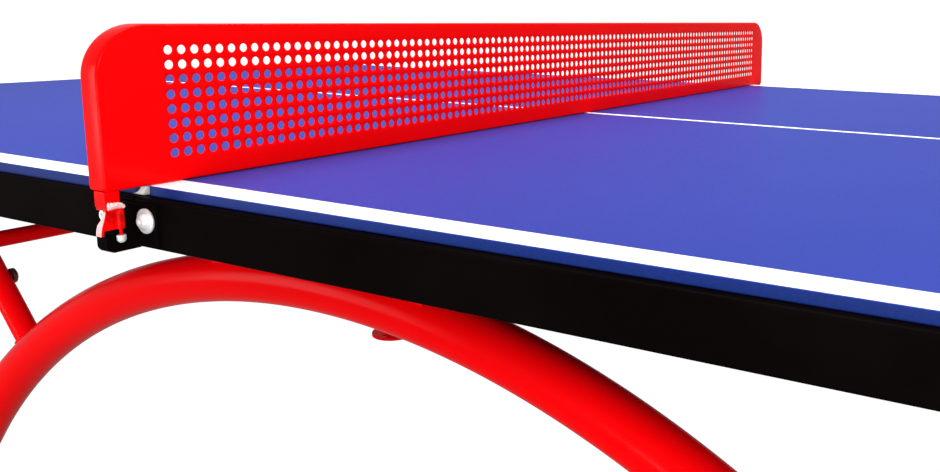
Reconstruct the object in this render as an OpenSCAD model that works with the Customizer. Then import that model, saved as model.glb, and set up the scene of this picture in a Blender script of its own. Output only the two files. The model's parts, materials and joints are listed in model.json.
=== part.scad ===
// Outdoor table tennis table: two moulded tabletop boards on box-tube frames,
// two round-tube arches with struts, and a perforated sheet-steel net that lifts off.
// X runs along the table, Y across it, Z up. The origin is the centre of the table on the floor.

/* [Tabletop] */
// Length of the playing surface
table_len = 2740; // [2700:1:2760]
// Width of the playing surface
table_w = 1525; // [1500:1:1540]
// Height of the playing surface above the floor
table_h = 760; // [745:1:780]
// Thickness of a board at its edge
board_t = 10; // [8:1:14]
// Gap between the two boards
seam_gap = 3; // [1:0.5:6]
// Corner radius of a board at the seam
seam_corner_r = 12; // [4:1:20]
// Corner radius of a board at the end of the table
end_corner_r = 25; // [4:1:60]
// Depth of the stiffening ribs under a board
rib_depth = 14; // [6:1:30]
// Width of the white line along the sides and ends
edge_line_w = 33; // [15:1:40]
// Width of the centre line
centre_line_w = 12; // [3:1:20]

/* [Frame under the boards] */
// Height of every frame rail
rail_h = 48; // [40:1:60]
// Width of the side, end and centre rails
rail_w = 30; // [26:1:40]
// Width of the cross rails
cross_rail_w = 40; // [36:1:60]
// How far the side and end rails stand out past the boards
rail_proud = 10; // [4:1:14]
// Wall of the box tubes
wall = 2; // [1.5:0.5:3]
// Distance of the outer cross rails from the seam
outer_cross_x = 890; // [820:1:920]
// Distance of the inner cross rails from the seam
inner_cross_x = 150; // [120:1:220]

/* [Arches and struts] */
// Distance of each arch from the middle of the table
arch_y = 556; // [500:1:600]
// Outer diameter of the arch tube
arch_d = 63; // [50:1:70]
// Radius of the arch along its tube's axis
arch_r = 1080; // [1000:10:1100]
// Height of the tube's axis at the crown
crown_z = 603.2; // [590:0.1:615]
// Angle from the crown to where the straight leg starts
arch_sweep = 49.2; // [44:0.1:52]
// Outer diameter of a strut
strut_d = 33; // [30:1:48]
// Distance of a strut's lower end from the middle of the arch
strut_foot_x = 632; // [600:1:660]
// Height of the tube that ties a pair of struts together
tie_z = 555; // [530:1:580]
// Outer diameter of the tie tube
tie_d = 26; // [20:1:30]
// Diameter of a foot plate
foot_d = 130; // [126:1:160]
// Thickness of a foot plate
foot_t = 8; // [6:1:12]

/* [Net] */
// Length of the net panel
net_len = 1608.5; // [1600:0.5:1640]
// Height of the net's top edge above the playing surface
net_top = 152.5; // [150:0.5:156]
// Gap between the net's lower edge and the playing surface
net_gap = 0.5; // [0.5:0.5:4]
// Depth of the rim folded back round the net panel
net_rim = 24; // [16:1:28]
// Thickness of the net's sheet
net_sheet = 2; // [1.5:0.5:3]
// Radius of the net's two top corners
net_corner_r = 50; // [20:1:60]
// Diameter of a hole in the net
net_hole_d = 9; // [6:0.5:10]
// Columns of holes
net_cols = 110; // [20:2:112]
// Rows of holes
net_rows = 8; // [4:1:8]

/* [Hidden] */

$fn = 48;

// Colours
blue = "#4a50ae";
black = "#17130f";
red = "#e0140f";
zinc = "#b9bcc0";

// Tabletop
half_len = table_len / 2;
half_w = table_w / 2;
board_z = table_h - board_t;
paint_t = 0.2;
rib_t = 5;
rib_pitch = 115;
rib_clear = 2;
seal_half = 9;
seal_h = 9;
seal_gap = 0.02;

// Frame
rail_r = 3;
rail_z = board_z - rail_h;
rail_mid_z = rail_z + rail_h / 2;
side_out_y = half_w + rail_proud;
side_in_y = side_out_y - rail_w;
end_out_x = half_len + rail_proud;
end_in_x = end_out_x - rail_w;
plug_t = 3;
centre_in_x = seam_gap / 2;
centre_out_x = centre_in_x + rail_w;

// Arches
arch_bore_d = arch_d - 6;
arch_mid_z = crown_z - arch_r;
leg_top_x = arch_r * sin(arch_sweep);
leg_top_z = arch_mid_z + arch_r * cos(arch_sweep);
leg_len = (leg_top_z - foot_t) / sin(arch_sweep);
foot_x = leg_top_x + (leg_top_z - foot_t) / tan(arch_sweep);
anchor_d = 12;
anchor_y = 45;

// Struts: from the arch's axis up to the top plate under the outer cross rail
strut_wall = 2.5;
strut_foot_z = arch_mid_z + sqrt(arch_r * arch_r - strut_foot_x * strut_foot_x);
strut_plate_t = 6;
strut_top_z = rail_z - strut_plate_t;
strut_rise = strut_top_z - strut_foot_z;
strut_run = outer_cross_x - strut_foot_x;
strut_len = sqrt(strut_rise * strut_rise + strut_run * strut_run);
strut_tilt = atan2(strut_run, strut_rise);
strut_plate = [60, 146];
strut_bolt_y = 57;
tie_x = strut_foot_x + (tie_z - strut_foot_z) * tan(strut_tilt);
lock_bolt_at = 138;
lock_bolt_d = 10;
lock_gap = 0.6;
lock_collar_d = 24;
lock_collar_t = 5.4;
lock_head_d = 17;
lock_proud = 8;

// Crown beams
beam_w = 50;
beam_half = 600;
beam_z = rail_z - beam_w;
saddle_w = 44;
crown_bolt_y = 450;

// Fasteners
m10 = 10;
m10_hole = 10.8;
m8 = 8;
m8_hole = 8.8;
seam_bolt_y = 300;

// Net bracket: a plate across the seam, and an arm that stands out from it in three steps
bracket_x = -6;
plate_w = 88;
plate_t = 3;
plate_z = rail_z + 2.5;
plate_top_z = board_z - 4;
plate_y = side_out_y + plate_t;
bracket_bolt_span = 57.4;
right_bolt_x = bracket_x + bracket_bolt_span / 2;
left_bolt_x = bracket_x - bracket_bolt_span / 2;
bracket_bolt_z = 730;
washer_d = 24;
washer_t = 2;
button_d = 14;
button_t = 5;
button_key = 5;
arm_w = 15;
arm_end_y = side_out_y + 31.5;
arm_r = 7.5;
arm_z = rail_z + 0.5;
arm_tip_h = 15.5;
arm_mid_h = 26.5;
arm_mid_y = arm_end_y - 7;
arm_root_h = 40.5;
arm_root_y = side_out_y + 20;

// Net
net_z = table_h + net_gap;
net_h = net_top - net_gap;
net_front_x = net_rim / 2;
hole_pitch_y = 13.5;
hole_pitch_z = 14.2;
hole_top = 24.5;

// Net post and clamp, drawn at the near end
post_x0 = -6;
post_x1 = 9.8;
post_out_y = net_len / 2;
post_in_y = post_out_y - 13.8;
post_wall = 2;
post_z = board_z - 4;
cheek_in_x = 8;
cheek_out_x = 12;
cheek_z = post_z - 20.5;
cheek_in_y = 789;
cheek_r = 4.5;
clamp_web_t = 3;

// Lip on the clamp's outer edge, which bends outward towards its tip
lip_y = 803.2;
lip_bend = 5.4;
lip_t = 2.2;
lip_h = 25.3;
lip_steps = 14;
lip_lap = 0.3;
lip_wide_x = 4;
lip_wide_h = 15.7;
lip_slant_h = 9.1;

// Clamp screw
screw_x = 11.8;
screw_y = 793;
screw_d = 2.6;
screw_gap = 0.05;
screw_in = 12;
screw_out = 8;
lug_r = 3.6;
lug_h = 15;
cap_r = 4;
cap_t = 3.4;

// ---------- shared shapes ----------

// Copies its children to the far side of the table
module far_side() { mirror([0, 1, 0]) children(); }

// Copies its children to the left end of the table
module left_end() { mirror([1, 0, 0]) children(); }

module rounded_rect(w, h, r) {
    square([w - 2 * r, h], center = true);
    square([w, h - 2 * r], center = true);
    for (x = [-1, 1], y = [-1, 1])
        translate([x * (w / 2 - r), y * (h / 2 - r)]) circle(r = r);
}

module box_tube_profile(w, h) {
    difference() {
        rounded_rect(w, h, rail_r);
        rounded_rect(w - 2 * wall, h - 2 * wall, rail_r - wall);
    }
}

// Box tube along X with its middle at y, z
module tube_x(x0, x1, y, z, w, h)
    translate([x0, y, z]) rotate([90, 0, 90]) linear_extrude(x1 - x0) box_tube_profile(w, h);

// Box tube along Y with its middle at x, z
module tube_y(y0, y1, x, z, w, h)
    translate([x, y1, z]) rotate([90, 0, 0]) linear_extrude(y1 - y0) box_tube_profile(w, h);

module hex_prism(across_flats, h) cylinder(h = h, r = across_flats / 2 / cos(30), $fn = 6);

// ---------- tabletop ----------

// Outline of the right board, with its own radius at each end
module board_outline() {
    inner = seam_corner_r;
    outer = end_corner_r;
    translate([centre_in_x, inner - half_w]) square([half_len / 2, table_w - 2 * inner]);
    translate([centre_in_x + inner, -half_w]) square([half_len / 2, table_w]);
    translate([half_len / 2, -half_w]) square([half_len / 2 - outer, table_w]);
    translate([half_len / 2, outer - half_w]) square([half_len / 2, table_w - 2 * outer]);
    for (s = [-1, 1]) {
        translate([centre_in_x + inner, s * (half_w - inner)]) circle(r = inner);
        translate([half_len - outer, s * (half_w - outer)]) circle(r = outer);
    }
}

// Ribs that fill one bay of the frame, from x0 to x1
module rib_bay(x0, x1) {
    bay_w = 2 * (side_in_y - rib_clear);
    long_ribs = floor(bay_w / rib_pitch / 2);
    cross_ribs = max(1, floor((x1 - x0) / rib_pitch));
    pitch = (x1 - x0) / (cross_ribs + 1);
    for (i = [1 : cross_ribs])
        translate([x0 + i * pitch - rib_t / 2, -bay_w / 2]) square([rib_t, bay_w]);
    for (i = [-long_ribs : long_ribs])
        translate([x0 + rib_clear, i * rib_pitch - rib_t / 2]) square([x1 - x0 - 2 * rib_clear, rib_t]);
}

module tabletop() color(blue) {
    translate([0, 0, board_z]) linear_extrude(board_t) board_outline();
    translate([0, 0, board_z - rib_depth]) linear_extrude(rib_depth + 1) {
        rib_bay(centre_out_x, inner_cross_x - cross_rail_w / 2);
        rib_bay(inner_cross_x + cross_rail_w / 2, outer_cross_x - cross_rail_w / 2);
        rib_bay(outer_cross_x + cross_rail_w / 2, end_in_x);
    }
}

module court_lines() color("white") translate([0, 0, table_h]) linear_extrude(paint_t)
    intersection() {
        board_outline();
        union() {
            translate([half_len - edge_line_w, -half_w]) square([edge_line_w, table_w]);
            translate([0, -centre_line_w / 2]) square([half_len, centre_line_w]);
            for (y = [-half_w, half_w - edge_line_w])
                translate([0, y]) square([half_len, edge_line_w]);
        }
    }

// Wedges of sealant in the notches that the boards' round corners leave at the seam
module seam_seals() color("white") for (t = [0, 1]) mirror([0, t, 0]) difference() {
    translate([-seal_half, -half_w, board_z]) cube([2 * seal_half, seam_corner_r, seal_h]);
    for (s = [-1, 1]) translate([s * (centre_in_x + seam_corner_r), seam_corner_r - half_w, board_z - 1])
        cylinder(h = board_t + 2, r = seam_corner_r + seal_gap);
}

// ---------- frame under the boards ----------

// Side rail of the right end, with a hole for its bracket bolt
module side_rail(bolt_x) color(black) difference() {
    tube_x(centre_in_x, end_out_x - plug_t, -(side_out_y + side_in_y) / 2, rail_mid_z, rail_w, rail_h);
    translate([bolt_x, -side_out_y - 1, bracket_bolt_z]) rotate([-90, 0, 0])
        cylinder(h = wall + 2, d = m8_hole);
}

module end_rail() color(black)
    tube_y(-side_in_y, side_in_y, (end_out_x + end_in_x) / 2, rail_mid_z, rail_w, rail_h);

module centre_rail() color(black) difference() {
    tube_y(-side_in_y, side_in_y, (centre_in_x + centre_out_x) / 2, rail_mid_z, rail_w, rail_h);
    for (y = [-seam_bolt_y, seam_bolt_y])
        translate([0, y, rail_mid_z]) rotate([0, 90, 0]) cylinder(h = centre_out_x + 1, d = m10_hole);
}

// Bolt positions of the joints under a cross rail
function beam_bolts() = [-crown_bolt_y, crown_bolt_y];
function strut_bolts() = [for (s = [-1, 1], t = [-1, 1]) s * arch_y + t * strut_bolt_y];

module cross_rail(x, bolts) color(black) difference() {
    tube_y(-side_in_y, side_in_y, x, rail_mid_z, cross_rail_w, rail_h);
    for (y = bolts) translate([x, y, rail_z - 1]) cylinder(h = wall + 2, d = m10_hole);
}

module tube_end_caps() color("#1d1d1f") for (s = [-1, 1], t = [-1, 1]) {
    translate([s > 0 ? end_out_x - plug_t : -end_out_x, t * (side_out_y + side_in_y) / 2, rail_mid_z])
        rotate([90, 0, 90]) linear_extrude(plug_t) rounded_rect(rail_w, rail_h, rail_r);
    translate([s * inner_cross_x, t > 0 ? beam_half + plug_t : -beam_half, beam_z + beam_w / 2])
        rotate([90, 0, 0]) linear_extrude(plug_t) rounded_rect(beam_w, beam_w, rail_r);
}

// ---------- arches, struts and crown beams ----------

// Sweeps a section along the round stretch of the near arch
module arch_bend() translate([0, -arch_y, arch_mid_z]) rotate([90, 0, 0]) rotate([0, 0, 90 - arch_sweep])
    rotate_extrude(angle = 2 * arch_sweep, $fn = 180) translate([arch_r, 0]) children();

module arch_section() difference() {
    circle(d = arch_d);
    circle(d = arch_bore_d);
}

module near_arch() color(red) {
    arch_bend() arch_section();
    difference() {
        for (s = [-1, 1]) translate([s * leg_top_x, -arch_y, leg_top_z])
            rotate([0, s * (90 + arch_sweep), 0]) linear_extrude(leg_len + arch_d) arch_section();
        translate([-2 * arch_r, -arch_y - arch_d, foot_t - 4 * arch_d]) cube([4 * arch_r, 2 * arch_d, 4 * arch_d]);
    }
}

module foot_plate() color(red) translate([foot_x, -arch_y, 0]) difference() {
    cylinder(h = foot_t, d = foot_d);
    for (y = [-anchor_y, anchor_y]) translate([0, y, -1]) cylinder(h = foot_t + 2, d = anchor_d);
}

// Places its children with Z along the near right strut, starting on the arch's axis
module along_strut()
    translate([strut_foot_x, -arch_y, strut_foot_z]) rotate([0, strut_tilt, 0]) children();

module near_right_strut() color(red) difference() {
    along_strut() cylinder(h = strut_len + strut_d, d = strut_d);
    along_strut() translate([0, 0, -1]) cylinder(h = strut_len + strut_d + 2, d = strut_d - 2 * strut_wall);
    arch_bend() circle(d = arch_d);
    translate([0, -arch_y - strut_d, strut_top_z]) cube([2 * outer_cross_x, 2 * strut_d, 2 * strut_d]);
    along_strut() translate([0, 0, lock_bolt_at]) rotate([-90, 0, 0])
        cylinder(h = strut_d, d = lock_bolt_d + lock_gap);
}

module strut_tie() color(red) difference() {
    translate([tie_x, arch_y, tie_z]) rotate([90, 0, 0]) difference() {
        cylinder(h = 2 * arch_y, d = tie_d);
        translate([0, 0, -1]) cylinder(h = 2 * arch_y + 2, d = tie_d - 2 * wall);
    }
    for (s = [0, 1]) mirror([0, s, 0])
        along_strut() cylinder(h = strut_len, d = strut_d);
}

module strut_top_plates() color(red) for (s = [-1, 1], t = [-1, 1]) difference() {
    translate([s * outer_cross_x - strut_plate.x / 2, t * arch_y - strut_plate.y / 2, strut_top_z])
        cube([strut_plate.x, strut_plate.y, strut_plate_t]);
    for (y = [-strut_bolt_y, strut_bolt_y])
        translate([s * outer_cross_x, t * arch_y + y, strut_top_z - 1])
            cylinder(h = strut_plate_t + 2, d = m10_hole);
}

module crown_beam() color(red) difference() {
    tube_y(-beam_half, beam_half, inner_cross_x, beam_z + beam_w / 2, beam_w, beam_w);
    for (y = beam_bolts()) translate([inner_cross_x, y, beam_z - 1])
        cylinder(h = beam_w + 2, d = m10_hole);
}

module crown_saddles() color(red) for (s = [-1, 1], t = [-1, 1]) difference() {
    translate([s * inner_cross_x - saddle_w / 2, t * arch_y - saddle_w / 2, crown_z])
        cube([saddle_w, saddle_w, beam_z - crown_z]);
    translate([0, (t + 1) * arch_y, 0]) arch_bend() circle(d = arch_d);
}

// ---------- fasteners ----------

// Hexagon bolt standing on its head: the head lies under z = 0, the shank above it
module hex_bolt(d, shank) {
    translate([0, 0, -0.65 * d]) hex_prism(1.6 * d, 0.65 * d);
    cylinder(h = shank, d = d);
}

module hex_nut(d) difference() {
    hex_prism(1.6 * d, 0.8 * d);
    translate([0, 0, -1]) cylinder(h = d + 1, d = d);
}

module frame_bolts() color(zinc) for (s = [-1, 1]) {
    for (y = beam_bolts()) translate([s * inner_cross_x, y, beam_z])
        hex_bolt(m10, beam_w + wall + 0.8 * m10 + 2);
    for (y = strut_bolts()) translate([s * outer_cross_x, y, strut_top_z])
        hex_bolt(m10, strut_plate_t + wall + 0.8 * m10 + 2);
}

module frame_nuts() color(zinc) for (s = [-1, 1]) {
    for (y = beam_bolts()) translate([s * inner_cross_x, y, rail_z + wall]) hex_nut(m10);
    for (y = strut_bolts()) translate([s * outer_cross_x, y, rail_z + wall]) hex_nut(m10);
}

module seam_bolts() color(zinc) for (y = [-seam_bolt_y, seam_bolt_y])
    translate([-centre_out_x, y, rail_mid_z]) rotate([0, 90, 0])
        hex_bolt(m10, 2 * centre_out_x + 0.8 * m10 + 2);

module seam_nuts() color(zinc) for (y = [-seam_bolt_y, seam_bolt_y])
    translate([centre_out_x, y, rail_mid_z]) rotate([0, 90, 0]) hex_nut(m10);

// Bolt on the inner side of the near right strut, with a collar and a domed head
module strut_lock_bolt() along_strut() translate([0, strut_d / 2, lock_bolt_at]) rotate([-90, 0, 0]) {
    translate([0, 0, -2 * strut_wall]) cylinder(h = 2 * strut_wall + 1, d = lock_bolt_d);
    translate([0, 0, lock_gap]) cylinder(h = lock_collar_t, d = lock_collar_d);
    translate([0, 0, lock_gap + lock_collar_t])
        cylinder(h = lock_proud - lock_gap - lock_collar_t, d1 = lock_collar_d - 2, d2 = lock_head_d);
}

module strut_lock_bolts() color("#3a1210") {
    strut_lock_bolt();
    left_end() strut_lock_bolt();
    far_side() strut_lock_bolt();
    far_side() left_end() strut_lock_bolt();
}

// Places its children at each bracket bolt, with Z pointing into the rail
module at_bracket_bolts() for (x = [left_bolt_x, right_bolt_x], t = [0, 1]) mirror([0, t, 0])
    translate([x, -plate_y, bracket_bolt_z]) rotate([-90, 0, 0]) children();

module bracket_bolts() color(zinc) at_bracket_bolts() difference() {
    union() {
        translate([0, 0, -washer_t - button_t / 2]) cylinder(h = button_t / 2, d = button_d);
        translate([0, 0, -washer_t - button_t])
            cylinder(h = button_t / 2, d1 = 0.65 * button_d, d2 = button_d);
        translate([0, 0, -washer_t]) cylinder(h = washer_t + plate_t + wall + 8, d = m8);
    }
    translate([0, 0, -washer_t - button_t - 1]) hex_prism(button_key, button_t - 1);
}

module bracket_washers() color(zinc) at_bracket_bolts() translate([0, 0, -washer_t]) difference() {
    cylinder(h = washer_t, d = washer_d);
    translate([0, 0, -1]) cylinder(h = washer_t + 2, d = m8_hole);
}

module bracket_nuts() color(zinc) at_bracket_bolts() translate([0, 0, plate_t + wall]) hex_nut(m8);

// ---------- net brackets on the table ----------

// Side view of the arm: across is the distance from the middle of the table, up is the height
module arm_outline() {
    translate([side_out_y, arm_z]) square([arm_end_y - arm_r - side_out_y, arm_tip_h]);
    translate([side_out_y, arm_z + arm_r]) square([arm_end_y - side_out_y, arm_tip_h - arm_r]);
    translate([arm_end_y - arm_r, arm_z + arm_r]) circle(r = arm_r);
    translate([side_out_y, arm_z]) square([arm_mid_y - side_out_y, arm_mid_h]);
    translate([side_out_y, arm_z]) square([arm_root_y - side_out_y, arm_root_h]);
}

module near_net_bracket() color(black) difference() {
    union() {
        translate([bracket_x - plate_w / 2, -plate_y, plate_z])
            cube([plate_w, plate_t, plate_top_z - plate_z]);
        translate([-arm_w / 2, 0, 0]) rotate([90, 0, 90]) mirror([1, 0, 0])
            linear_extrude(arm_w) arm_outline();
    }
    for (x = [left_bolt_x, right_bolt_x]) translate([x, -plate_y - 1, bracket_bolt_z])
        rotate([-90, 0, 0]) cylinder(h = plate_t + 2, d = m8_hole);
}

// ---------- net ----------

// Outline of the net panel, drawn inset by the given amount: across is Y, up is Z
module net_outline(inset) {
    half = net_len / 2 - inset;
    corner = net_corner_r - inset;
    translate([-half, inset]) square([2 * half, net_h - inset - net_corner_r]);
    translate([-net_len / 2 + net_corner_r, inset])
        square([net_len - 2 * net_corner_r, net_h - 2 * inset]);
    for (s = [-1, 1])
        translate([s * (net_len / 2 - net_corner_r), net_h - net_corner_r]) circle(r = corner);
}

module net_holes() for (i = [0 : net_cols - 1], j = [0 : net_rows - 1])
    translate([(i - (net_cols - 1) / 2) * hole_pitch_y, net_h - hole_top - j * hole_pitch_z])
        circle(d = net_hole_d, $fn = 24);

module net_panel() color(red) translate([-net_front_x, 0, net_z]) rotate([90, 0, 90]) {
    linear_extrude(net_rim) difference() {
        net_outline(0);
        net_outline(net_sheet);
    }
    translate([0, 0, net_rim - net_sheet]) linear_extrude(net_sheet) difference() {
        net_outline(0);
        net_holes();
    }
}

// Stub of box tube between the net panel and its clamp
module near_net_post() color(red) translate([post_x0, -post_out_y, post_z])
    linear_extrude(net_z - post_z) difference() {
        square([post_x1 - post_x0, post_out_y - post_in_y]);
        translate([post_wall, post_wall])
            square([post_x1 - post_x0 - 2 * post_wall, post_out_y - post_in_y - 2 * post_wall]);
    }

// Point on the clamp's outer edge, for t from 0 at the top to 1 at the lip's tip
function lip_point(t) = [lip_y + lip_bend * (1 - cos(180 * t)) / 2, post_z - lip_h * t];

// Points along the clamp's outer edge, down to t_end and moved out by the given amount
function lip_edge(t_end, out) =
    [for (i = [0 : lip_steps]) lip_point(i * t_end / lip_steps) + [out, 0]];

// Side view of the lip: across is the distance from the middle of the table, up is the height
module lip_outline() {
    inner = lip_edge(1, -lip_lap);
    polygon(concat(lip_edge(1, lip_t), [for (i = [lip_steps : -1 : 0]) inner[i]]));
}

// Side view of the cheek: its outer edge follows the lip, and its inner lower corner is round
module cheek_outline() {
    round_y = cheek_in_y + cheek_r;
    polygon(concat(lip_edge((post_z - cheek_z) / lip_h, 0), [[round_y, cheek_z], [round_y, post_z]]));
    translate([cheek_in_y, cheek_z + cheek_r]) square([cheek_r + 1, post_z - cheek_z - cheek_r]);
    translate([round_y, cheek_z + cheek_r]) circle(r = cheek_r);
}

// Extrudes a side view from x0 to x1
module side_view(x0, x1) translate([x0, 0, 0]) rotate([90, 0, 90]) mirror([1, 0, 0])
    linear_extrude(x1 - x0) children();

// Saddle on the arm: a web over it, a cheek on one side of it and a lip past its end
module near_net_clamp() color(red) difference() {
    union() {
        side_view(cheek_in_x, cheek_out_x) {
            cheek_outline();
            lip_outline();
        }
        intersection() {
            side_view(lip_wide_x, cheek_out_x) lip_outline();
            translate([0, 1 - lip_y, post_z]) rotate([90, 0, 0]) linear_extrude(lip_bend + lip_t + 2)
                polygon([[cheek_out_x, -lip_h], [lip_wide_x, -lip_h], [lip_wide_x, -lip_wide_h],
                    [cheek_in_x, -lip_slant_h], [cheek_out_x, -lip_slant_h]]);
        }
        translate([post_x0, -lip_y, post_z - clamp_web_t])
            cube([cheek_in_x + 1 - post_x0, lip_y - cheek_in_y, clamp_web_t]);
        translate([screw_x, -screw_y, cheek_z]) cylinder(h = lug_h, r = lug_r);
        translate([screw_x, -screw_y, cheek_z + lug_h]) sphere(r = lug_r);
    }
    translate([screw_x, -screw_y, cheek_z - 1]) cylinder(h = screw_in + 2, d = screw_d + 2 * screw_gap);
}

module near_clamp_screw() color(red)
    translate([screw_x, -screw_y, cheek_z - screw_out]) cylinder(h = screw_out + screw_in, d = screw_d);

// Domed cap on the lower end of the clamp screw
module near_screw_cap() color(zinc)
    translate([screw_x, -screw_y, cheek_z - screw_out - cap_t / 2]) difference() {
        union() {
            cylinder(h = cap_t, r = cap_r);
            intersection() {
                sphere(r = cap_r);
                translate([0, 0, -cap_r]) cylinder(h = cap_r, r = cap_r);
            }
        }
        translate([0, 0, cap_t / 2]) cylinder(h = cap_t, d = screw_d);
    }

// ---------- every node ----------

left_end() tabletop();  // left_tabletop
tabletop();  // right_tabletop
left_end() court_lines();  // left_court_lines
court_lines();  // right_court_lines
seam_seals();
left_end() side_rail(-left_bolt_x);  // left_near_side_rail
left_end() far_side() side_rail(-left_bolt_x);  // left_far_side_rail
side_rail(right_bolt_x);  // right_near_side_rail
far_side() side_rail(right_bolt_x);  // right_far_side_rail
left_end() end_rail();  // left_end_rail
end_rail();  // right_end_rail
left_end() centre_rail();  // left_centre_rail
centre_rail();  // right_centre_rail
cross_rail(-outer_cross_x, strut_bolts());  // left_outer_cross_rail
cross_rail(-inner_cross_x, beam_bolts());  // left_inner_cross_rail
cross_rail(outer_cross_x, strut_bolts());  // right_outer_cross_rail
cross_rail(inner_cross_x, beam_bolts());  // right_inner_cross_rail
tube_end_caps();
near_arch();
far_side() near_arch();  // far_arch
left_end() foot_plate();  // near_left_foot_plate
foot_plate();  // near_right_foot_plate
left_end() far_side() foot_plate();  // far_left_foot_plate
far_side() foot_plate();  // far_right_foot_plate
left_end() near_right_strut();  // near_left_strut
near_right_strut();
left_end() far_side() near_right_strut();  // far_left_strut
far_side() near_right_strut();  // far_right_strut
left_end() strut_tie();  // left_strut_tie
strut_tie();  // right_strut_tie
strut_top_plates();
left_end() crown_beam();  // left_crown_beam
crown_beam();  // right_crown_beam
crown_saddles();
frame_bolts();
frame_nuts();
seam_bolts();
seam_nuts();
strut_lock_bolts();
near_net_bracket();
far_side() near_net_bracket();  // far_net_bracket
bracket_bolts();
bracket_washers();
bracket_nuts();
net_panel();
near_net_post();
far_side() near_net_post();  // far_net_post
near_net_clamp();
far_side() near_net_clamp();  // far_net_clamp
near_clamp_screw();
far_side() near_clamp_screw();  // far_clamp_screw
near_screw_cap();
far_side() near_screw_cap();  // far_screw_cap
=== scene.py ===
"""Outdoor table tennis table: the looks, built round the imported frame, in metres."""
import json
import math

import bmesh
import bpy
from mathutils import Matrix, Vector


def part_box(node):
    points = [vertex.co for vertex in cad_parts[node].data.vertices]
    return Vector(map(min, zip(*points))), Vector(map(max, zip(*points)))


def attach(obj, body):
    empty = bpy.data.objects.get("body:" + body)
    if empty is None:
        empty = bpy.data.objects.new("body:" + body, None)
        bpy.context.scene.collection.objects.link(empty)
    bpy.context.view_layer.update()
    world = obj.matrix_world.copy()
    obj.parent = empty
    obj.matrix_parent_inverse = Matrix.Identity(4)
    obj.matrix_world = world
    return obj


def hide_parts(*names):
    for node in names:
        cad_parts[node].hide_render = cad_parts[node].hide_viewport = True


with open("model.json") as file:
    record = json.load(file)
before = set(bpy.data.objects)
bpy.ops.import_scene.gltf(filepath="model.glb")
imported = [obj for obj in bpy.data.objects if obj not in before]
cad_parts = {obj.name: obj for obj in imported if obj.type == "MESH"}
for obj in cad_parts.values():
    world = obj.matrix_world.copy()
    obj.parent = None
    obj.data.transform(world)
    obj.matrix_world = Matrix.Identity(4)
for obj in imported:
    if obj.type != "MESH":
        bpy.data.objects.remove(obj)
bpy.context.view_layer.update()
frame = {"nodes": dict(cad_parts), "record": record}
scene = bpy.context.scene
nodes = frame["nodes"]

# ---------- driving dimensions ----------

TUBE_R = 0.0315
ARCH_R = 1.080
ARCH_SWEEP = math.radians(49.2)
STRUT_R = 0.0165
STRUT_FOOT_X = 0.632
TIE_R = 0.013

NET_SHEET = 0.002
NET_FOLD_R = 0.0026
NET_UPPER_CORNER_R = 0.050
NET_LOWER_CORNER_R = 0.0035
NET_HOLE_R = 0.0045
NET_HOLE_LIP = 0.0004
NET_HOLE_TOP = 0.0245
NET_PITCH_Y = 0.0135
NET_PITCH_Z = 0.0142
NET_COLS = 110
NET_ROWS = 8

BOARD_SEAM_CORNER_R = 0.012
BOARD_END_CORNER_R = 0.025
EDGE_LINE_W = 0.033
CENTRE_LINE_W = 0.012
LINE_MARGIN = 0.0010
LINE_T = 0.0002
LINE_SUNK = 0.0004

CLAMP_SEAM_X = 0.0108

SIDES = {"near": -1, "far": 1}
ENDS = {"left": -1, "right": 1}
AXIS_X = Vector((1.0, 0.0, 0.0))
AXIS_Y = Vector((0.0, 1.0, 0.0))
AXIS_Z = Vector((0.0, 0.0, 1.0))


def middle(node):
    """Centre of a CAD node's box."""
    low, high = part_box(node)
    return (low + high) / 2


ARCH_Y = abs(middle("near_right_foot_plate").y)
ARCH_MID_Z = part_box("near_arch")[1].z - TUBE_R - ARCH_R
FOOT_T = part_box("near_right_foot_plate")[1].z
TABLE_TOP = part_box("right_tabletop")[1].z
NET_LOW, NET_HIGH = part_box("net_panel")


# ---------- camera, surround and light ----------

DOME_R = 60.0
FLOOR_HALF = 40.0
FLOOR_Z = -0.001
SURROUND_GLOW = 1.05

# Grey of the sky at each height, from straight below (0) to straight above (1).
SKY = ((0.0, 0.30), (0.46, 0.45), (0.50, 0.62), (0.56, 0.50), (0.775, 0.40), (1.0, 0.75))

# Place, aim, width and height, and watts of each light.
SOFTBOXES = {
    "key": ((3.4, -3.0, 2.3), (0.0, -0.3, 0.7), (1.4, 1.0), 120.0),
    "overhead": ((-0.2, 0.1, 3.4), (0.0, 0.0, 0.7), (3.0, 1.5), 120.0),
    "left_fill": ((-3.0, -3.4, 0.9), (0.0, -0.6, 0.4), (1.6, 1.6), 50.0),
    "low_fill": ((0.9, -3.6, 0.45), (0.0, -0.5, 0.4), (2.6, 0.5), 52.0),
}


def add_camera():
    """Stands near the right of the net and looks left across the table, with some lens shift."""
    data = bpy.data.cameras.new("view")
    data.sensor_width = 36.0
    data.lens = 33.745
    data.shift_x = -0.2287
    data.shift_y = -0.0957
    data.clip_start = 0.05
    data.clip_end = 100.0
    place = Vector((0.8305, -1.2721, 0.9285))
    yaw, pitch, roll = math.radians(26.407), math.radians(8.461), math.radians(0.896)
    level = Vector((math.cos(yaw), math.sin(yaw), 0.0))
    ahead = Vector((-math.sin(yaw) * math.cos(pitch), math.cos(yaw) * math.cos(pitch),
                    -math.sin(pitch)))
    right = Matrix.Rotation(-roll, 3, ahead) @ level
    up = right.cross(ahead)
    turn = Matrix((right, up, -ahead)).transposed().to_4x4()
    camera = bpy.data.objects.new("view", data)
    camera.matrix_world = Matrix.Translation(place) @ turn
    scene.collection.objects.link(camera)
    scene.camera = camera


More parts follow.
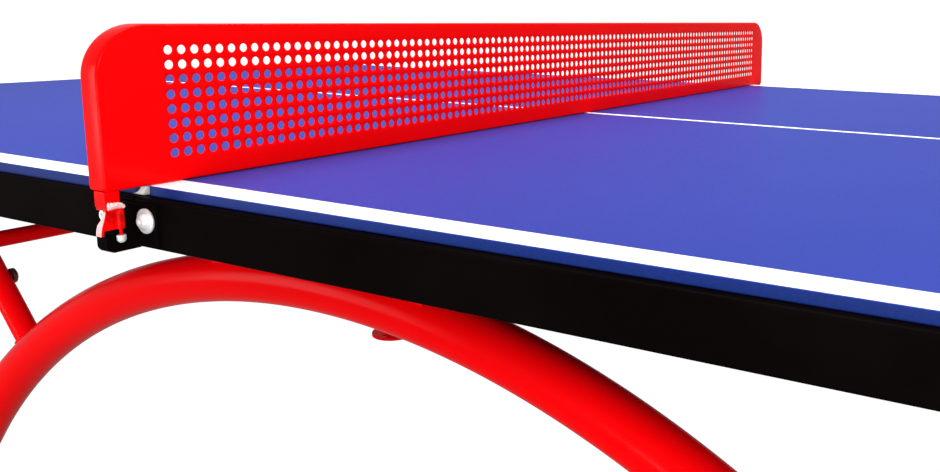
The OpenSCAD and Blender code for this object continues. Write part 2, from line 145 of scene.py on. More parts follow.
def add_sky():
    """Soft grey studio light: dim from below, brighter from straight above."""
    world = bpy.data.worlds.new("studio")
    world.use_nodes = True
    tree = world.node_tree
    where = tree.nodes.new("ShaderNodeTexCoord")
    split = tree.nodes.new("ShaderNodeSeparateXYZ")
    height = tree.nodes.new("ShaderNodeMath")
    height.operation = "MULTIPLY_ADD"
    height.inputs[1].default_value = 0.5
    height.inputs[2].default_value = 0.5
    ramp = tree.nodes.new("ShaderNodeValToRGB")
    elements = ramp.color_ramp.elements
    while len(elements) < len(SKY):
        elements.new(0.5)
    for element, (position, grey) in zip(elements, SKY):
        element.position = position
        element.color = (grey, grey, grey, 1.0)
    tree.links.new(where.outputs["Generated"], split.inputs["Vector"])
    tree.links.new(split.outputs["Z"], height.inputs[0])
    tree.links.new(height.outputs["Value"], ramp.inputs["Fac"])
    tree.links.new(ramp.outputs["Color"], tree.nodes["Background"].inputs["Color"])
    scene.world = world


def add_white(name, mesh):
    """White surround that the camera sees, but that neither lights the table nor shows in it."""
    mat = bpy.data.materials.new(name)
    mat.use_nodes = True
    shader = mat.node_tree.nodes["Principled BSDF"]
    shader.inputs["Base Color"].default_value = (0.0, 0.0, 0.0, 1.0)
    shader.inputs["Specular IOR Level"].default_value = 0.0
    shader.inputs["Emission Color"].default_value = (1.0, 1.0, 1.0, 1.0)
    shader.inputs["Emission Strength"].default_value = SURROUND_GLOW
    mesh.materials.append(mat)
    surround = bpy.data.objects.new(name, mesh)
    surround.visible_diffuse = False
    surround.visible_glossy = False
    surround.visible_shadow = False
    scene.collection.objects.link(surround)


def add_backdrop():
    """Dome round the whole scene, and a floor just under the feet."""
    work = bmesh.new()
    bmesh.ops.create_icosphere(work, subdivisions=4, radius=DOME_R)
    dome = bpy.data.meshes.new("backdrop")
    work.to_mesh(dome)
    work.free()
    add_white("backdrop", dome)
    floor = bpy.data.meshes.new("floor")
    corners = [(x * FLOOR_HALF, y * FLOOR_HALF, FLOOR_Z)
               for x, y in ((-1, -1), (1, -1), (1, 1), (-1, 1))]
    floor.from_pydata(corners, [], [(0, 1, 2, 3)])
    add_white("floor", floor)


def add_lights():
    """Area lights, each turned to face the point it aims at."""
    for name, (place, aim, size, power) in SOFTBOXES.items():
        data = bpy.data.lights.new(name, "AREA")
        data.shape = "RECTANGLE"
        data.size, data.size_y = size
        data.energy = power
        light = bpy.data.objects.new(name, data)
        light.location = place
        light.rotation_mode = "QUATERNION"
        light.rotation_quaternion = (Vector(aim) - Vector(place)).to_track_quat("-Z", "Y")
        scene.collection.objects.link(light)


# ---------- materials ----------

class Paint:
    """A procedural material: a Principled shader, and helpers for its colour, gloss and bump."""

    def __init__(self, name, roughness=0.5, metallic=0.0, sheen=0.5, coat=0.0,
                 coat_roughness=0.05):
        self.mat = bpy.data.materials.new(name)
        self.mat.use_nodes = True
        self.tree = self.mat.node_tree
        self.shader = self.tree.nodes["Principled BSDF"]
        self.shader.inputs["Roughness"].default_value = roughness
        self.shader.inputs["Metallic"].default_value = metallic
        self.shader.inputs["Specular IOR Level"].default_value = sheen
        self.shader.inputs["Coat Weight"].default_value = coat
        self.shader.inputs["Coat Roughness"].default_value = coat_roughness
        self.place = self.tree.nodes.new("ShaderNodeTexCoord").outputs["Object"]
        self.bump = None

    def link(self, out, into):
        self.tree.links.new(out, into)

    def stretched(self, scale):
        """Object coordinates with a scale for each axis."""
        node = self.tree.nodes.new("ShaderNodeMapping")
        node.inputs["Scale"].default_value = scale
        self.link(self.place, node.inputs["Vector"])
        return node.outputs["Vector"]

    def noise(self, scale, detail=2.0, roughness=0.5, stretch=None):
        """Noise from 0 to 1, fixed to the object."""
        node = self.tree.nodes.new("ShaderNodeTexNoise")
        node.inputs["Scale"].default_value = scale
        node.inputs["Detail"].default_value = detail
        node.inputs["Roughness"].default_value = roughness
        self.link(self.stretched(stretch) if stretch else self.place, node.inputs["Vector"])
        return node.outputs["Fac"]

    def mask(self, source, low, high):
        """Black up to low, white from high, grey between."""
        node = self.tree.nodes.new("ShaderNodeValToRGB")
        for element, position, grey in zip(node.color_ramp.elements, (low, high), (0.0, 1.0)):
            element.position = position
            element.color = (grey, grey, grey, 1.0)
        self.link(source, node.inputs["Fac"])
        return node.outputs["Color"]

    def mix(self, factor, first, second):
        """Blends two colours, each given as (r, g, b) or as another node's output.

        The mix node's colour sockets have to be picked by number: 6 and 7 in, 2 out.
        """
        node = self.tree.nodes.new("ShaderNodeMix")
        node.data_type = "RGBA"
        self.link(factor, node.inputs["Factor"])
        for socket, value in ((node.inputs[6], first), (node.inputs[7], second)):
            if isinstance(value, tuple):
                socket.default_value = (*value, 1.0)
            else:
                self.link(value, socket)
        return node.outputs[2]

    def colour(self, out):
        self.link(out, self.shader.inputs["Base Color"])

    def maths(self, operation, first, second=None):
        """One arithmetic node."""
        node = self.tree.nodes.new("ShaderNodeMath")
        node.operation = operation
        self.link(first, node.inputs[0])
        if second:
            self.link(second, node.inputs[1])
        return node.outputs["Value"]

    def axis(self, vector, name):
        """One axis of a vector, without its sign."""
        node = self.tree.nodes.new("ShaderNodeSeparateXYZ")
        self.link(vector, node.inputs["Vector"])
        return self.maths("ABSOLUTE", node.outputs[name])

    def facing(self, name):
        """How squarely the surface faces along an axis, from 0 to 1."""
        geometry = self.tree.nodes.new("ShaderNodeNewGeometry")
        return self.axis(geometry.outputs["Normal"], name)

    def step(self, source, low, high):
        """0 where the value is at low, 1 where it is at high."""
        node = self.tree.nodes.new("ShaderNodeMapRange")
        node.inputs["From Min"].default_value = low
        node.inputs["From Max"].default_value = high
        self.link(source, node.inputs["Value"])
        return node.outputs["Result"]

    def gloss(self, source, low, high):
        """Roughness that wanders between low and high with a noise."""
        node = self.tree.nodes.new("ShaderNodeMapRange")
        node.inputs["From Min"].default_value = 0.3
        node.inputs["From Max"].default_value = 0.7
        node.inputs["To Min"].default_value = low
        node.inputs["To Max"].default_value = high
        self.link(source, node.inputs["Value"])
        self.link(node.outputs["Result"], self.shader.inputs["Roughness"])

    def relief(self, height, strength, distance):
        """Adds a bump on top of any that is there already."""
        node = self.tree.nodes.new("ShaderNodeBump")
        node.inputs["Strength"].default_value = strength
        node.inputs["Distance"].default_value = distance
        self.link(height, node.inputs["Height"])
        if self.bump:
            self.link(self.bump, node.inputs["Normal"])
        self.bump = node.outputs["Normal"]
        self.link(self.bump, self.shader.inputs["Normal"])


def red_paint(name, bright, deep):
    """Glossy powder coat with a faint orange peel."""
    paint = Paint(name, sheen=0.03)
    cloud = paint.noise(7.0, detail=3.0)
    paint.colour(paint.mix(cloud, bright, deep))
    paint.gloss(paint.noise(40.0), low=0.16, high=0.27)
    paint.relief(paint.noise(260.0, detail=1.0), strength=0.10, distance=0.0004)
    return paint.mat


def black_paint():
    """Satin powder coat over steel, with a fine texture and broad, slightly paler clouds."""
    paint = Paint("frame_black", sheen=0.003)
    cloud = paint.mask(paint.noise(5.0, detail=5.0, roughness=0.62), low=0.45, high=0.8)
    paint.colour(paint.mix(cloud, (0.0022, 0.0014, 0.0014), (0.0040, 0.0026, 0.0026)))
    paint.gloss(paint.noise(60.0), low=0.30, high=0.42)
    paint.relief(paint.noise(900.0, detail=2.0), strength=0.16, distance=0.0002)
    return paint.mat


def board_blue():
    """Moulded composite: blue with a fine leathery grain on top, and painted shade round the edge.
    """
    paint = Paint("tabletop_blue", sheen=0.08)
    grain = paint.noise(420.0, detail=4.0, roughness=0.7)
    speckle = paint.mask(grain, low=0.32, high=0.68)
    deep = paint.mix(speckle, (0.013, 0.028, 0.24), (0.021, 0.042, 0.32))
    cloud = paint.mask(paint.noise(2.2, detail=4.0, roughness=0.6), low=0.35, high=0.7)
    pale = paint.mix(speckle, (0.015, 0.032, 0.26), (0.024, 0.047, 0.35))
    top = paint.mix(cloud, deep, pale)
    # Painted shade: faces that do not look up get a darker blue than the top.
    edge = paint.mix(speckle, (0.0045, 0.018, 0.125), (0.0075, 0.024, 0.165))
    paint.colour(paint.mix(paint.step(paint.facing("Z"), 0.45, 0.85), edge, top))
    paint.gloss(grain, low=0.36, high=0.50)
    paint.relief(grain, strength=0.35, distance=0.00035)
    paint.relief(paint.noise(35.0), strength=0.04, distance=0.001)
    return paint.mat


def line_white():
    """Rolled-on line paint that follows the grain of the board."""
    paint = Paint("line_white", roughness=0.55, sheen=0.2)
    grain = paint.noise(420.0, detail=4.0, roughness=0.7)
    paint.colour(paint.mix(grain, (0.80, 0.83, 0.88), (0.95, 0.96, 0.98)))
    paint.relief(grain, strength=0.25, distance=0.0003)
    return paint.mat


def zinc_steel():
    """Bright zinc plate with a drawn surface and a little clouding."""
    paint = Paint("zinc_steel", metallic=0.55)
    cloud = paint.noise(180.0, detail=3.0)
    paint.colour(paint.mix(cloud, (0.84, 0.84, 0.86), (0.97, 0.97, 0.97)))
    paint.gloss(paint.noise(500.0), low=0.30, high=0.46)
    drawn = paint.noise(1600.0, stretch=(1.0, 1.0, 0.25))
    paint.relief(drawn, strength=0.06, distance=0.00004)
    return paint.mat


# A clamp's lip gets a painted highlight low down and far out: from none to full, as heights
# above the floor and as distances from the table's long axis.
HIGHLIGHT_BELOW_Z = (0.7432, 0.7424)
HIGHLIGHT_BEYOND_Y = (0.7995, 0.8005)


def clamp_red():
    """The net's red on the clamps: painted reflection in dark patches, painted highlight on the
    lip.
    """
    paint = Paint("clamp_red", roughness=0.22, sheen=0.06)
    # Painted reflection: dark red patches, laid at random, stand in for the glossy coat's
    # reflections.
    cloud = paint.mask(paint.noise(75.0, detail=2.0), low=0.40, high=0.66)
    body = paint.mix(cloud, (0.95, 0.002, 0.002), (0.42, 0.001, 0.001))
    # Painted highlight: pale pink where the lip faces out, low down and far out, for the light it
    # catches.
    low_down = paint.step(paint.axis(paint.place, "Z"), *HIGHLIGHT_BELOW_Z)
    far_out = paint.step(paint.axis(paint.place, "Y"), *HIGHLIGHT_BEYOND_Y)
    worn = paint.maths("MULTIPLY", paint.step(paint.facing("Y"), 0.55, 0.85),
                       paint.maths("MULTIPLY", low_down, far_out))
    lip_highlight = paint.mix(paint.noise(420.0, detail=3.0), (0.95, 0.30, 0.30), (0.92, 0.52, 0.52))
    paint.colour(paint.mix(worn, body, lip_highlight))
    paint.relief(paint.noise(260.0, detail=1.0), strength=0.10, distance=0.0004)
    return paint.mat


def dark_steel():
    """Lock bolts: dark, lacquered steel with a red tinge."""
    paint = Paint("lock_bolt_dark", roughness=0.34, coat=0.4, coat_roughness=0.15)
    cloud = paint.noise(90.0, detail=4.0)
    paint.colour(paint.mix(cloud, (0.03, 0.007, 0.006), (0.085, 0.018, 0.014)))
    paint.relief(paint.noise(700.0), strength=0.12, distance=0.0002)
    return paint.mat


def weld_highlight():
    """Weld metal with a painted highlight: pale pink patches broken up by red paint."""
    paint = Paint("weld_highlight", roughness=0.32)
    glint_mask = paint.mask(paint.noise(700.0, detail=3.0), low=0.42, high=0.68)
    paint.colour(paint.mix(glint_mask, (0.93, 0.72, 0.70), (0.86, 0.30, 0.28)))
    paint.relief(paint.noise(1400.0), strength=0.3, distance=0.0003)
    return paint.mat


def seal_white():
    """Cured sealant: off-white, slightly uneven."""
    paint = Paint("seal_white", sheen=0.3)
    cloud = paint.noise(240.0, detail=3.0)
    paint.colour(paint.mix(cloud, (0.86, 0.84, 0.84), (0.66, 0.62, 0.60)))
    paint.relief(paint.noise(520.0), strength=0.3, distance=0.0004)
    return paint.mat


def black_plastic():
    """Moulded end caps with a fine grain."""
    paint = Paint("cap_plastic")
    grain = paint.noise(1100.0, detail=3.0)
    paint.colour(paint.mix(grain, (0.009, 0.009, 0.010), (0.017, 0.017, 0.018)))
    paint.relief(grain, strength=0.2, distance=0.0002)
    return paint.mat


MATERIALS = {
    "frame_red": red_paint("frame_red", (0.84, 0.0010, 0.0025), (0.76, 0.0008, 0.0018)),
    "net_red": red_paint("net_red", (0.95, 0.0010, 0.0015), (0.88, 0.0010, 0.0012)),
    "frame_black": black_paint(),
    "tabletop_blue": board_blue(),
    "line_white": line_white(),
    "zinc_steel": zinc_steel(),
    "lock_bolt_dark": dark_steel(),
    "cap_plastic": black_plastic(),
    "seal_white": seal_white(),
    "weld_highlight": weld_highlight(),
    "clamp_red": clamp_red(),
}
SLOT_OF = {part["node"]: part["material_slot"] for part in frame["record"]["subparts"]}


# ---------- CAD nodes that stay ----------

# Width of the rounded edge on the CAD nodes of each slot; 0 leaves them as they are.
EDGE_WIDTH = {
    "tabletop_blue": 0.0016, "frame_black": 0.0007, "frame_red": 0.0009, "net_red": 0.0006,
    "zinc_steel": 0.0004, "lock_bolt_dark": 0.001, "cap_plastic": 0.0008, "seal_white": 0.0008,
    "line_white": 0.0,
}
SAME_POINT = 0.000002
FLAT_ANGLE = math.radians(0.4)
EDGE_ANGLE = math.radians(38.0)


def soften(node, width):
    """Rounds a CAD node's sharp edges with modifiers and smooths its shading."""
    mesh = node.data
    if mesh.attributes.get("custom_normal"):
        mesh.attributes.remove(mesh.attributes["custom_normal"])
    mesh.polygons.foreach_set("use_smooth", [True] * len(mesh.polygons))
    weld = node.modifiers.new("weld", "WELD")
    weld.merge_threshold = SAME_POINT
    flat = node.modifiers.new("flat", "DECIMATE")
    flat.decimate_type = "DISSOLVE"
    flat.angle_limit = FLAT_ANGLE
    bevel = node.modifiers.new("round", "BEVEL")
    bevel.width = width
    bevel.segments = 3
    bevel.limit_method = "ANGLE"
    bevel.angle_limit = EDGE_ANGLE
    bevel.use_clamp_overlap = True
    normals = node.modifiers.new("shade", "WEIGHTED_NORMAL")
    normals.keep_sharp = True


def dress_cad_nodes():
    """Gives every CAD node its material, and rounds the edges of those that are seen."""
    for name, node in nodes.items():
        slot = SLOT_OF[name]
        look = "clamp_red" if name.endswith("net_clamp") else slot
        node.data.materials.clear()
        node.data.materials.append(MATERIALS[look])
        if not node.hide_render and EDGE_WIDTH[slot]:
            soften(node, EDGE_WIDTH[slot])


# ---------- mesh building ----------

def finish_piece(name, mesh, body, slot, replaced=(), sharp=30.0, look=None):
    """Makes a mesh a named piece under its body, with its look's or slot's material; hides replaced
    CAD nodes.
    """
    mesh.polygons.foreach_set("use_smooth", [True] * len(mesh.polygons))
    mesh.set_sharp_from_angle(angle=math.radians(sharp))
    mesh.materials.append(MATERIALS[look or slot])
    piece = bpy.data.objects.new(name, mesh)
    scene.collection.objects.link(piece)
    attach(piece, body)
    if replaced:
        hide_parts(*replaced)


def loft(name, rings, closed_path=False, capped=False):
    """Mesh through closed rings of points that all hold the same number of points."""
    count = len(rings[0])
    points = [point for ring in rings for point in ring]
    faces = []
    for i in range(len(rings) if closed_path else len(rings) - 1):
        j = (i + 1) % len(rings)
        for k in range(count):
            m = (k + 1) % count
            faces.append((i * count + k, i * count + m, j * count + m, j * count + k))
    if capped:
        faces.append(tuple(reversed(range(count))))
        faces.append(tuple((len(rings) - 1) * count + k for k in range(count)))
    mesh = bpy.data.meshes.new(name)
    mesh.from_pydata([tuple(p) for p in points], [], faces)
    work = bmesh.new()
    work.from_mesh(mesh)
    bmesh.ops.recalc_face_normals(work, faces=work.faces)
    work.to_mesh(mesh)
    work.free()
    return mesh


def circle_ring(centre, across, up, radius, count=56):
    """Points on a circle with the two given unit directions."""
    turn = 2 * math.pi / count
    return [centre + radius * (math.cos(k * turn) * across + math.sin(k * turn) * up)
            for k in range(count)]


def quarter(centre_u, centre_v, radius, start, steps):
    """Quarter of a circle as (u, v) points, from a starting angle in degrees."""
    angles = [math.radians(start + 90 * k / steps) for k in range(steps + 1)]
    return [(centre_u + radius * math.cos(a), centre_v + radius * math.sin(a)) for a in angles]


def slide_to_height(point, direction, height):
    """Moves a point along a direction until it reaches a height."""
    return point + direction * ((height - point.z) / direction.z)


# ---------- weld beads ----------

WELD_PITCH = 0.0030
WELD_RIPPLE = 0.28
WELD_WANDER = 0.12
WANDER_RATE = 410.0
WANDER_START = 1.3
BEAD_SIDES = 10


def bead(name, path, radii, body, slot, pitch=WELD_PITCH, closed=True, ripple=WELD_RIPPLE,
         look=None):
    """Weld bead: a lumpy rod along a path, with a radius at each point and a dip every pitch."""
    count = len(path)
    travelled = 0.0
    across = (path[1] - path[0]).orthogonal().normalized()
    rings = []
    for i, here in enumerate(path):
        ahead = path[(i + 1) % count] if closed or i + 1 < count else here
        behind = path[i - 1] if closed or i > 0 else here
        along = (ahead - behind).normalized()
        across = (across - along * across.dot(along)).normalized()
        dip = 1.0 - ripple * math.sin(math.pi * travelled / pitch) ** 2
        wander = 1.0 + WELD_WANDER * math.sin(travelled * WANDER_RATE + WANDER_START)
        radius = radii[i] * dip * wander
        rings.append(circle_ring(here, across, along.cross(across), radius, BEAD_SIDES))
        travelled += (ahead - here).length
    mesh = loft(name, rings, closed_path=closed, capped=not closed)
    finish_piece(name, mesh, body, slot, sharp=180.0, look=look)


def frame_weld(name, path, radius):
    """Closed, painted bead round a joint of the table's frame."""
    bead(name, path, [radius] * len(path), "table", "frame_red")


# ---------- arches, struts and ties ----------

ARCH_STEPS = 120
LEG_PARTS = (0.75, 0.5, 0.25, 0.0)
FOOT_WELD_R = 0.0032
FOOT_WELD_RISE = 0.0005
STRUT_WELD_R = 0.0026
STRUT_TOP_WELD_R = 0.0024
STRUT_TOP_WELD_DROP = 0.0006
TIE_WELD_R = 0.0021
SEARCH_REACH = 0.12
SEARCH_STEPS = 30


def arch_out(angle):
    """Direction away from the arch's centre, at an angle from the crown."""
    return Vector((math.sin(angle), 0.0, math.cos(angle)))


def arch_point(angle, y):
    """Point on the arch tube's axis, at an angle from the crown."""
    return Vector((ARCH_R * math.sin(angle), y, ARCH_MID_Z + ARCH_R * math.cos(angle)))


def leg_down(way):
    """Direction down a straight leg, on the left (-1) or the right (1)."""
    return Vector((way * math.cos(ARCH_SWEEP), 0.0, -math.sin(ARCH_SWEEP)))


def arch_mesh(name, y):
    """One bent tube: the round stretch, and a straight leg down to the foot plate at each end."""
    rings = []
    for i in range(ARCH_STEPS + 1):
        angle = -ARCH_SWEEP + 2 * ARCH_SWEEP * i / ARCH_STEPS
        rings.append(circle_ring(arch_point(angle, y), AXIS_Y, arch_out(angle), TUBE_R))
    legs = {}
    for way, ring in ((-1, rings[0]), (1, rings[-1])):
        legs[way] = [[slide_to_height(p, leg_down(way), FOOT_T + (p.z - FOOT_T) * t) for p in ring]
                     for t in LEG_PARTS]
    return loft(name, legs[-1][::-1] + rings + legs[1], capped=True)


def build_arches():
    """Arch tubes, and the bead where each leg stands on its foot plate."""
    for side, sign in SIDES.items():
        y = sign * ARCH_Y
        name = f"{side}_arch_tube"
        finish_piece(name, arch_mesh(name, y), "table", "frame_red", [f"{side}_arch"], sharp=60.0)
        for end, way in ENDS.items():
            angle = way * ARCH_SWEEP
            ring = circle_ring(arch_point(angle, y), AXIS_Y, arch_out(angle), TUBE_R, 160)
            rim = [slide_to_height(p, leg_down(way), FOOT_T + FOOT_WELD_RISE) for p in ring]
            frame_weld(f"{side}_{end}_foot_weld", rim, FOOT_WELD_R)


def strut_line(side, end):
    """Start, direction and length of a strut's axis, and where it stops under the cross rail."""
    y = SIDES[side] * ARCH_Y
    foot_z = ARCH_MID_Z + math.sqrt(ARCH_R ** 2 - STRUT_FOOT_X ** 2)
    foot = Vector((ENDS[end] * STRUT_FOOT_X, y, foot_z))
    top_x = middle(f"{end}_outer_cross_rail").x
    top = Vector((top_x, y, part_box(f"{side}_{end}_strut")[1].z))
    return foot, (top - foot).normalized(), (top - foot).length, top.z


def distance_to_arch(point, y):
    """Distance from a point to the arch tube's axis, in the round stretch."""
    radial = math.hypot(point.x, point.z - ARCH_MID_Z) - ARCH_R
    return math.hypot(radial, point.y - y)


def leave_arch(point, along, y):
    """Where a line that starts inside the arch tube comes out of it, found by halving."""
    low, high = 0.0, SEARCH_REACH
    for _ in range(SEARCH_STEPS):
        mid = (low + high) / 2
        inside = distance_to_arch(point + along * mid, y) < TUBE_R
        low, high = (mid, high) if inside else (low, mid)
    return point + along * low


def build_struts():
    """Strut tubes, with a bead where each leaves the arch and one under its top plate."""
    for side in SIDES:
        for end in ENDS:
            foot, along, length, top_z = strut_line(side, end)
            out = along.cross(AXIS_Y)
            start = circle_ring(foot, AXIS_Y, out, STRUT_R)
            rings = [[p + along * length * t for p in start] for t in (0.0, 0.33, 0.66)]
            rings.append([slide_to_height(p, along, top_z) for p in start])
            name = f"{side}_{end}_strut_tube"
            finish_piece(name, loft(name, rings, capped=True), "table", "frame_red",
                         [f"{side}_{end}_strut"], sharp=60.0)
            seam = [leave_arch(p, along, foot.y)
                    for p in circle_ring(foot, AXIS_Y, out, STRUT_R, 120)]
            frame_weld(f"{side}_{end}_strut_weld", seam, STRUT_WELD_R)
            rim = [slide_to_height(p, along, top_z - STRUT_TOP_WELD_DROP)
                   for p in circle_ring(foot, AXIS_Y, out, STRUT_R, 110)]
            frame_weld(f"{side}_{end}_strut_top_weld", rim, STRUT_TOP_WELD_R)


def build_ties():
    """Tubes between the near and far struts, with a bead round each end."""
    for end in ENDS:
        centre = middle(f"{end}_strut_tie")
        rings = [circle_ring(Vector((centre.x, ARCH_Y * t, centre.z)), AXIS_X, AXIS_Z, TIE_R, 40)
                 for t in (-1.0, -0.5, 0.0, 0.5, 1.0)]
        name = f"{end}_strut_tie_tube"
        finish_piece(name, loft(name, rings, capped=True), "table", "frame_red",
                     [f"{end}_strut_tie"], sharp=60.0)
        for side, sign in SIDES.items():
            foot, along, _, _ = strut_line(side, end)
            seam = []
            for p in circle_ring(Vector((centre.x, 0.0, centre.z)), AXIS_X, AXIS_Z, TIE_R, 90):
                offset = (p - foot) - along * (p - foot).dot(along)
                aside = Vector((offset.x, 0.0, offset.z)).length
                y = ARCH_Y - math.sqrt(STRUT_R ** 2 - aside ** 2)
                seam.append(Vector((p.x, sign * y, p.z)))
            frame_weld(f"{side}_{end}_tie_weld", seam, TIE_WELD_R)


# ---------- net panel ----------

CORNER_STEPS = 20
FOLD_STEPS = 8
LIP_STEPS = 6
INNER_FOLD_STEPS = 4
HOLE_STEPS = 20
FACE_TOLERANCE = 1e-7


def net_outline(inset):
    """Outline of the net panel drawn in by an inset, anticlockwise, as (y, z) points."""
    small, large = NET_LOWER_CORNER_R - inset, NET_UPPER_CORNER_R - inset
    low_y, low_z = NET_LOW.y + inset, NET_LOW.z + inset
    high_y, high_z = NET_HIGH.y - inset, NET_HIGH.z - inset
    return (quarter(low_y + small, low_z + small, small, 180, CORNER_STEPS)
            + quarter(high_y - small, low_z + small, small, 270, CORNER_STEPS)
            + quarter(high_y - large, high_z - large, large, 0, CORNER_STEPS)
            + quarter(low_y + large, high_z - large, large, 90, CORNER_STEPS))


def net_rim_profile():
    """Section of the folded rim as (inset, x) pairs: outer fold, rounded lip, inner fold."""
    front, back = NET_HIGH.x, NET_LOW.x
    pairs = []
    for k in range(FOLD_STEPS + 1):
        angle = math.radians(90 * k / FOLD_STEPS)
        pairs.append((NET_FOLD_R * (1 - math.sin(angle)),
                      front - NET_FOLD_R * (1 - math.cos(angle))))
    lip = NET_SHEET / 2
    for k in range(LIP_STEPS + 1):
        angle = math.radians(180 * k / LIP_STEPS)
        pairs.append((lip - lip * math.cos(angle), back + lip - lip * math.sin(angle)))
    inner_r = NET_FOLD_R - NET_SHEET
    for k in range(INNER_FOLD_STEPS + 1):
        angle = math.radians(90 * k / INNER_FOLD_STEPS)
        pairs.append((NET_SHEET + inner_r * (1 - math.cos(angle)),
                      front - NET_SHEET - inner_r * (1 - math.sin(angle))))
    return pairs


def cell_border(column, row):
    """Middle of one hole's cell, and points round it from its upper right corner, as (y, z)."""
    centre_y = (column - (NET_COLS - 1) / 2) * NET_PITCH_Y
    centre_z = NET_HIGH.z - NET_HOLE_TOP - row * NET_PITCH_Z
    half_y, half_z = NET_PITCH_Y / 2, NET_PITCH_Z / 2
    per_edge = HOLE_STEPS // 4
    corners = [(1, 1), (-1, 1), (-1, -1), (1, -1)]
    border = []
    for k in range(HOLE_STEPS):
        (ay, az), (by, bz) = corners[k // per_edge], corners[(k // per_edge + 1) % 4]
        t = (k % per_edge) / per_edge
        border.append((centre_y + half_y * (ay + (by - ay) * t),
                       centre_z + half_z * (az + (bz - az) * t)))
    return centre_y, centre_z, border


def build_net():
    """One closed skin: the folded rim, the sheet and its holes with softened edges."""
    work = bmesh.new()
    front, back = NET_HIGH.x, NET_HIGH.x - NET_SHEET
    seen = {}

    def vertex(x, y, z):
        """The vertex at a place: one for all the points that agree to a micrometre."""
        key = (round(x * 1e6), round(y * 1e6), round(z * 1e6))
        if key not in seen:
            seen[key] = work.verts.new((x, y, z))
        return seen[key]

    def bands(rings):
        """Faces between each ring of vertices and the next."""
        for first, second in zip(rings, rings[1:]):
            for k in range(len(first)):
                m = (k + 1) % len(first)
                work.faces.new((first[k], first[m], second[m], second[k]))

    bands([[vertex(x, y, z) for y, z in net_outline(inset)] for inset, x in net_rim_profile()])

    turns = [math.radians(45 + 360 * k / HOLE_STEPS) for k in range(HOLE_STEPS)]
    wide_r = NET_HOLE_R + NET_HOLE_LIP
    hole_profile = ((wide_r, front), (NET_HOLE_R, front - NET_HOLE_LIP),
                    (NET_HOLE_R, back + NET_HOLE_LIP), (wide_r, back))
    for column in range(NET_COLS):
        for row in range(NET_ROWS):
            centre_y, centre_z, border = cell_border(column, row)
            rings = [[vertex(front, y, z) for y, z in border]]
            rings += [[vertex(x, centre_y + r * math.cos(t), centre_z + r * math.sin(t))
                       for t in turns] for r, x in hole_profile]
            rings.append([vertex(back, y, z) for y, z in border])
            bands(rings)

    for x in (front, back):
        edges = [edge for edge in work.edges if len(edge.link_faces) == 1
                 and all(abs(v.co.x - x) < FACE_TOLERANCE for v in edge.verts)]
        bmesh.ops.triangle_fill(work, edges=edges, use_beauty=True)
    bmesh.ops.recalc_face_normals(work, faces=work.faces)
    mesh = bpy.data.meshes.new("net_skin")
    work.to_mesh(mesh)
    work.free()
    finish_piece("net_skin", mesh, "net", "net_red", ["net_panel"], sharp=50.0)


# ---------- court lines ----------

LINE_CORNER_STEPS = 10


def build_lines():
    """Film of paint on each board: a band along its rounded outline, and the centre line."""
    seam_r, end_r = BOARD_SEAM_CORNER_R - LINE_MARGIN, BOARD_END_CORNER_R - LINE_MARGIN
    for end, way in ENDS.items():
        low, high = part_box(f"{end}_court_lines")
        inner = min(abs(low.x), abs(high.x)) + LINE_MARGIN
        outer = max(abs(low.x), abs(high.x)) - LINE_MARGIN
        half, inside = high.y - LINE_MARGIN, high.y - EDGE_LINE_W
        stop = outer + LINE_MARGIN - EDGE_LINE_W
        near = quarter(inner + seam_r, seam_r - half, seam_r, 180, LINE_CORNER_STEPS)
        near += quarter(outer - end_r, end_r - half, end_r, 270, LINE_CORNER_STEPS)
        far = [(x, -y) for x, y in reversed(near)]
        band = ([(inner, -inside)] + near + far
                + [(inner, inside), (stop, inside), (stop, -inside)])
        strip_half = CENTRE_LINE_W / 2
        strip = [(inner, -strip_half), (stop, -strip_half), (stop, strip_half),
                 (inner, strip_half)]
        for name, outline, replaced in ((f"{end}_edge_lines", band, [f"{end}_court_lines"]),
                                        (f"{end}_centre_line", strip, ())):
            rings = [[Vector((way * x, y, TABLE_TOP + z)) for x, y in outline]
                     for z in (-LINE_SUNK, LINE_T)]
            finish_piece(name, loft(name, rings, capped=True), "table", "line_white", replaced)


# ---------- clamp details ----------

CLAMP_WELD_STEPS = 110
CLAMP_WELD_SHIFT = 0.0022
CLAMP_WELD_R = 0.0035
CLAMP_WELD_THINNING = 0.0020
CLAMP_WELD_FADE = 0.55
CLAMP_WELD_RISE = 0.0012
CLAMP_WELD_SAG = 0.0028
CLAMP_WELD_SWAY = 0.0004
CLAMP_WELD_SWAY_RATE = 0.33


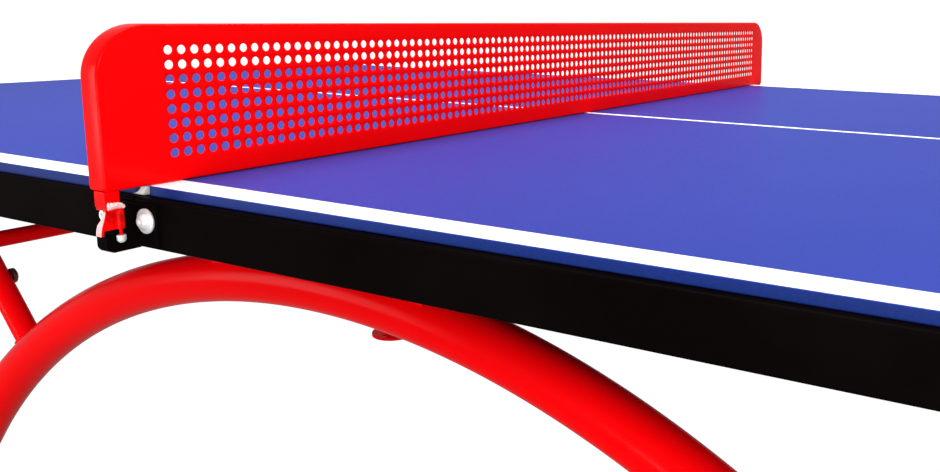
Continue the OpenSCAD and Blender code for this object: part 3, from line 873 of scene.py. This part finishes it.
def build_clamp_welds():
    """Fat bead that joins each clamp's cheek to its post, thin and sagging at its inner end."""
    for side, sign in SIDES.items():
        low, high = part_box(f"{side}_net_post")
        outer = max(abs(low.y), abs(high.y)) - CLAMP_WELD_SHIFT
        inner = min(abs(low.y), abs(high.y)) - CLAMP_WELD_SHIFT
        path, radii = [], []
        for i in range(CLAMP_WELD_STEPS + 1):
            t = i / CLAMP_WELD_STEPS
            fade = max(0.0, (t - CLAMP_WELD_FADE) / (1.0 - CLAMP_WELD_FADE))
            x = CLAMP_SEAM_X + CLAMP_WELD_SWAY * math.sin(i * CLAMP_WELD_SWAY_RATE)
            y = sign * (outer + (inner - outer) * t)
            z = low.z + CLAMP_WELD_RISE - CLAMP_WELD_SAG * fade ** 2
            path.append(Vector((x, y, z)))
            radii.append(CLAMP_WELD_R - CLAMP_WELD_THINNING * fade ** 1.5)
        bead(f"{side}_clamp_weld", path, radii, "net", "net_red", pitch=0.0032, closed=False,
             ripple=0.42, look="weld_highlight")


# ---------- seam sealant ----------

# Outline of the smear, seen from the side: millimetres along from the seam and up from its foot.
SEAL_SHAPE = ((-17.5, 0.0), (-13.0, 0.9), (-9.0, 2.6), (-5.6, 5.0), (-3.6, 7.2), (-2.2, 9.2),
              (6.8, 9.2), (4.8, 6.5), (2.4, 3.0), (0.4, 0.0))
SEAL_MIDDLE = (-0.5, 3.5)
# How deep each layer lies behind the smear's face, in metres, and how far it is drawn in.
SEAL_LAYERS = ((0.0060, 1.0), (0.0001, 1.0), (-0.0004, 0.93), (-0.0006, 0.80))


def build_seals():
    """Smeared fillet of sealant in the notch at each end of the seam, shaped as a leaning wedge."""
    low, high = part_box("seam_seals")
    middle_x, middle_z = SEAL_MIDDLE
    for side, sign in SIDES.items():
        layers = [[Vector(((middle_x + (x - middle_x) * drawn) / 1000, sign * (high.y - depth),
                           low.z + (middle_z + (z - middle_z) * drawn) / 1000))
                   for x, z in SEAL_SHAPE] for depth, drawn in SEAL_LAYERS]
        name = f"{side}_seam_seal"
        finish_piece(name, loft(name, layers, capped=True), "table", "seal_white",
                     ["seam_seals"] if side == "near" else (), sharp=50.0)


# ---------- the scene ----------

add_camera()
add_sky()
add_backdrop()
add_lights()
scene.view_settings.view_transform = "Standard"
build_arches()
build_struts()
build_ties()
build_net()
build_lines()
build_clamp_welds()
build_seals()
dress_cad_nodes()
